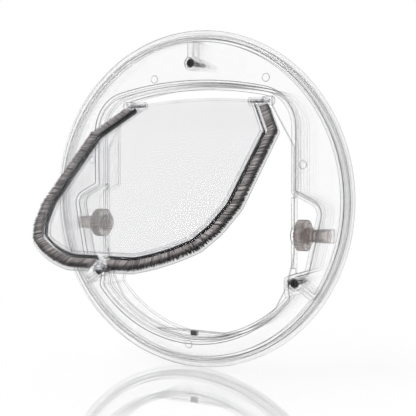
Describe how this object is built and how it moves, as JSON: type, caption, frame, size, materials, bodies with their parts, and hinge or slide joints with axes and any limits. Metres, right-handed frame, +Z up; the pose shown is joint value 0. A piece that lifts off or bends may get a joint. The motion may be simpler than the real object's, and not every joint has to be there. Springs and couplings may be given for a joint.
{
  "type": "cat flap",
  "caption": "Round clear pet door flap for a glass pane, with a brush-edged swinging flap and two screw locks.",
  "frame": {"origin": "centre of the round flange, in the plane where its foot meets the outer face of the pane", "axes": "+X to the right seen from outside, +Y through the pane to the inside, +Z up"},
  "size_m": [0.268, 0.1591, 0.268],
  "materials": {
    "clear_plastic": "clear, polished",
    "clear_seal": "clear, soft",
    "flap_plastic": "clear, faintly grey",
    "brush_pile": "bristle pile",
    "brush_backing": "matt black",
    "lock_plastic": "smoky translucent",
    "black_steel": "black zinc",
    "magnet": "dark ferrite",
    "pin_steel": "bright"
  },
  "bodies": {
    "frame": {"front_frame": "clear_plastic", "rear_frame": "clear_plastic", "pane_seal": "clear_seal", "sill_magnet_holder": "clear_plastic", "sill_magnet": "magnet", "screw_top": "black_steel", "screw_left": "black_steel", "screw_right": "black_steel", "hinge_pin_left": "pin_steel", "hinge_pin_right": "pin_steel"},
    "flap": {"flap_panel": "flap_plastic", "flap_magnet": "magnet", "flap_magnet_cap": "flap_plastic", "brush_backing_left": "brush_backing", "brush_backing_right": "brush_backing", "brush_pile_left": "brush_pile", "brush_pile_right": "brush_pile"},
    "left_knob": {"left_lock_wheel": "lock_plastic"},
    "left_bolt": {"left_lock_bolt": "lock_plastic"},
    "right_knob": {"right_lock_wheel": "lock_plastic"},
    "right_bolt": {"right_lock_bolt": "lock_plastic"}
  },
  "joints": [
    {"name": "flap_swing", "type": "hinge", "parent": "frame", "child": "flap", "pos_m": [0, 0.0032, 0.0765], "axis": [1, 0, 0], "range_deg": [-41.2, 130.8]},
    {"name": "left_knob_turn", "type": "hinge", "parent": "frame", "child": "left_knob", "pos_m": [-0.0937, 0.0032, -0.021], "axis": [1, 0, 0], "range_deg": [0, 258]},
    {"name": "left_bolt_slide", "type": "slide", "parent": "frame", "child": "left_bolt", "axis": [1, 0, 0], "range_m": [0, 0.0086]},
    {"name": "right_knob_turn", "type": "hinge", "parent": "frame", "child": "right_knob", "pos_m": [0.0937, 0.0032, -0.0257], "axis": [-1, 0, 0], "range_deg": [0, 258]},
    {"name": "right_bolt_slide", "type": "slide", "parent": "frame", "child": "right_bolt", "axis": [-1, 0, 0], "range_m": [0, 0.0086]}
  ],
  "couplings": [
    {"joint": "left_knob_turn", "follows": "left_bolt_slide", "rad_per_m": 523.59},
    {"joint": "right_knob_turn", "follows": "right_bolt_slide", "rad_per_m": 523.59}
  ]
}
